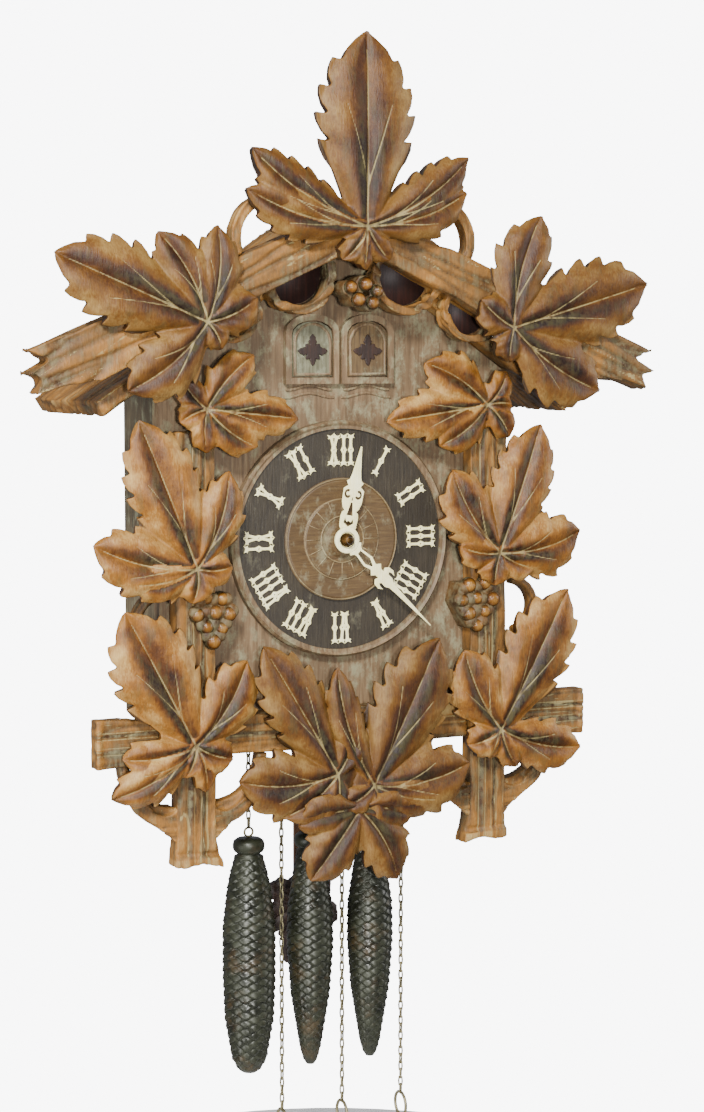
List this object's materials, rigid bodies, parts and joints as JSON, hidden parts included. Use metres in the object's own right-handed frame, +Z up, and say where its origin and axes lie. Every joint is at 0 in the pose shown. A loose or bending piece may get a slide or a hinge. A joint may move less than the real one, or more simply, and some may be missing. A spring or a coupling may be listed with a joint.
{
  "type": "cuckoo clock",
  "caption": "Carved wall clock with vine leaves, a round dial, bird doors, a pendulum and pine-cone weights on chains; it hangs on a nail.",
  "frame": {"origin": "middle of the hanger hole, in the plane of the wall", "axes": "+Z up, +X to the right as seen from the front, +Y into the wall; the dial faces -Y"},
  "size_m": [0.538, 0.202, 0.8843],
  "materials": {
    "leaf_wood": "carved linden, brown stain, waxed",
    "case_wood": "sawn boards, dark stain, dusty",
    "log_wood": "carved linden, brown stain with grey dust",
    "door_wood": "carved, stained",
    "dial_wood": "turned, dark stain, satin",
    "ebonised_wood": "turned, black stain, satin",
    "bone": "cream, fretted, matte",
    "brass": "rolled and cut, tarnished",
    "steel": "drawn wire and bar",
    "whistle_wood": "planed limewood with paper seams",
    "bird_paint": "painted carved wood",
    "pendulum_wood": "stained, waxed",
    "cone_iron": "cast pine cone, dark bronze-green paint",
    "chain_steel": "brassed wire, worn"
  },
  "bodies": {
    "case": {"crest_leaf": "leaf_wood", "roof_leaf_left": "leaf_wood", "roof_leaf_right": "leaf_wood", "upper_leaf_left": "leaf_wood", "upper_leaf_right": "leaf_wood", "middle_leaf_left": "leaf_wood", "middle_leaf_right": "leaf_wood", "lower_leaf_left": "leaf_wood", "lower_leaf_right": "leaf_wood", "bottom_leaves": "leaf_wood", "side_board_left": "case_wood", "side_board_right": "case_wood", "bottom_board": "case_wood", "front_board": "case_wood", "back_board": "case_wood", "roof_board_left": "case_wood", "roof_board_right": "case_wood", "bird_guide": "case_wood", "crown_board": "log_wood", "post_left": "log_wood", "post_right": "log_wood", "cross_logs": "log_wood", "bent_branches": "log_wood", "grapes": "log_wood", "door_frame": "log_wood", "dial_ring": "dial_wood", "dial_center": "dial_wood", "chapter_disc": "ebonised_wood", "numerals": "bone", "movement_frame": "brass", "hanger_plate": "steel", "gong": "steel", "whistles": "whistle_wood"},
    "rear_door": {"rear_door": "case_wood"},
    "door_left": {"door_left": "door_wood"},
    "door_right": {"door_right": "door_wood"},
    "cuckoo": {"cuckoo": "bird_paint"},
    "quail": {"quail": "bird_paint"},
    "minute_hand": {"center_arbor": "steel", "minute_hand": "bone"},
    "hour_hand": {"hour_wheel": "brass", "hour_hand": "bone"},
    "minute_wheel": {"minute_wheel": "brass"},
    "cuckoo_train": {"cuckoo_great_wheel": "brass"},
    "time_train": {"time_great_wheel": "brass"},
    "quail_train": {"quail_great_wheel": "brass"},
    "escape_wheel": {"escape_wheel": "brass"},
    "verge": {"verge": "steel"},
    "pendulum": {"pendulum_rod": "pendulum_wood"},
    "bob": {"pendulum_bob": "pendulum_wood"},
    "hammer": {"gong_hammer": "steel"},
    "weight_left": {"weight_left": "cone_iron", "weight_chain_left": "chain_steel"},
    "free_chain_left": {"free_chain_left": "chain_steel"},
    "weight_center": {"weight_center": "cone_iron", "weight_chain_center": "chain_steel"},
    "free_chain_center": {"free_chain_center": "chain_steel"},
    "weight_right": {"weight_right": "cone_iron", "weight_chain_right": "chain_steel"},
    "free_chain_right": {"free_chain_right": "chain_steel"}
  },
  "joints": [
    {"name": "minute_hand_turn", "type": "hinge", "parent": "case", "child": "minute_hand", "pos_m": [0, -0.15, -0.175], "axis": [0, 1, 0], "continuous": true},
    {"name": "hour_hand_turn", "type": "hinge", "parent": "case", "child": "hour_hand", "pos_m": [0, -0.145, -0.175], "axis": [0, 1, 0], "continuous": true},
    {"name": "minute_wheel_turn", "type": "hinge", "parent": "case", "child": "minute_wheel", "pos_m": [0, -0.13, -0.193], "axis": [0, 1, 0], "continuous": true},
    {"name": "weight_left_drop", "type": "slide", "parent": "case", "child": "weight_left", "axis": [0, 0, 1], "range_m": [-0.08, 0]},
    {"name": "cuckoo_train_turn", "type": "hinge", "parent": "case", "child": "cuckoo_train", "pos_m": [-0.054, -0.1, -0.217], "axis": [0, 1, 0], "range_deg": [-322, 2]},
    {"name": "free_chain_left_rise", "type": "slide", "parent": "case", "child": "free_chain_left", "axis": [0, 0, 1], "range_m": [0, 0.08]},
    {"name": "weight_center_drop", "type": "slide", "parent": "case", "child": "weight_center", "axis": [0, 0, 1], "range_m": [-0.08, 0]},
    {"name": "time_train_turn", "type": "hinge", "parent": "case", "child": "time_train", "pos_m": [0, -0.1, -0.217], "axis": [0, 1, 0], "range_deg": [-322, 2]},
    {"name": "free_chain_center_rise", "type": "slide", "parent": "case", "child": "free_chain_center", "axis": [0, 0, 1], "range_m": [0, 0.08]},
    {"name": "weight_right_drop", "type": "slide", "parent": "case", "child": "weight_right", "axis": [0, 0, 1], "range_m": [-0.08, 0]},
    {"name": "quail_train_turn", "type": "hinge", "parent": "case", "child": "quail_train", "pos_m": [0.054, -0.1, -0.217], "axis": [0, 1, 0], "range_deg": [-322, 2]},
    {"name": "free_chain_right_rise", "type": "slide", "parent": "case", "child": "free_chain_right", "axis": [0, 0, 1], "range_m": [0, 0.08]},
    {"name": "pendulum_swing", "type": "hinge", "parent": "case", "child": "pendulum", "pos_m": [0, -0.062, -0.127], "axis": [0, 1, 0], "range_deg": [-4, 4]},
    {"name": "verge_rock", "type": "hinge", "parent": "case", "child": "verge", "pos_m": [0, -0.075, -0.127], "axis": [0, 1, 0], "range_deg": [-4, 4]},
    {"name": "bob_slide", "type": "slide", "parent": "pendulum", "child": "bob", "axis": [0, 0, 1], "range_m": [-0.008, 0.008]},
    {"name": "escape_wheel_turn", "type": "hinge", "parent": "case", "child": "escape_wheel", "pos_m": [0, -0.08, -0.149], "axis": [0, 1, 0], "continuous": true},
    {"name": "door_left_swing", "type": "hinge", "parent": "case", "child": "door_left", "pos_m": [-0.041, -0.1451, -0.024], "axis": [0, 0, -1], "range_deg": [0, 90]},
    {"name": "door_right_swing", "type": "hinge", "parent": "case", "child": "door_right", "pos_m": [0.041, -0.1451, -0.024], "axis": [0, 0, 1], "range_deg": [0, 90]},
    {"name": "cuckoo_call", "type": "slide", "parent": "case", "child": "cuckoo", "axis": [0, -1, 0], "range_m": [0, 0.024]},
    {"name": "quail_call", "type": "slide", "parent": "case", "child": "quail", "axis": [0, -1, 0], "range_m": [0, 0.024]},
    {"name": "rear_door_swing", "type": "hinge", "parent": "case", "child": "rear_door", "pos_m": [-0.1145, -0.0005, -0.195], "axis": [0, 0, 1], "range_deg": [0, 110]},
    {"name": "hammer_strike", "type": "hinge", "parent": "case", "child": "hammer", "pos_m": [0.0615, -0.022, -0.297], "axis": [0, -1, 0], "range_deg": [0, 15], "stiffness_Nm_per_rad": 0.05}
  ],
  "couplings": [
    {"joint": "hour_hand_turn", "follows": "minute_hand_turn", "ratio": 0.083333},
    {"joint": "minute_wheel_turn", "follows": "minute_hand_turn", "ratio": -0.33333},
    {"joint": "cuckoo_train_turn", "follows": "weight_left_drop", "rad_per_m": 69.686},
    {"joint": "free_chain_left_rise", "follows": "weight_left_drop", "ratio": -1},
    {"joint": "time_train_turn", "follows": "weight_center_drop", "rad_per_m": 69.686},
    {"joint": "free_chain_center_rise", "follows": "weight_center_drop", "ratio": -1},
    {"joint": "quail_train_turn", "follows": "weight_right_drop", "rad_per_m": 69.686},
    {"joint": "free_chain_right_rise", "follows": "weight_right_drop", "ratio": -1},
    {"joint": "verge_rock", "follows": "pendulum_swing", "ratio": 1},
    {"joint": "cuckoo_call", "follows": "door_left_swing", "m_per_rad": 0.0152},
    {"joint": "quail_call", "follows": "door_right_swing", "m_per_rad": 0.0152}
  ]
}
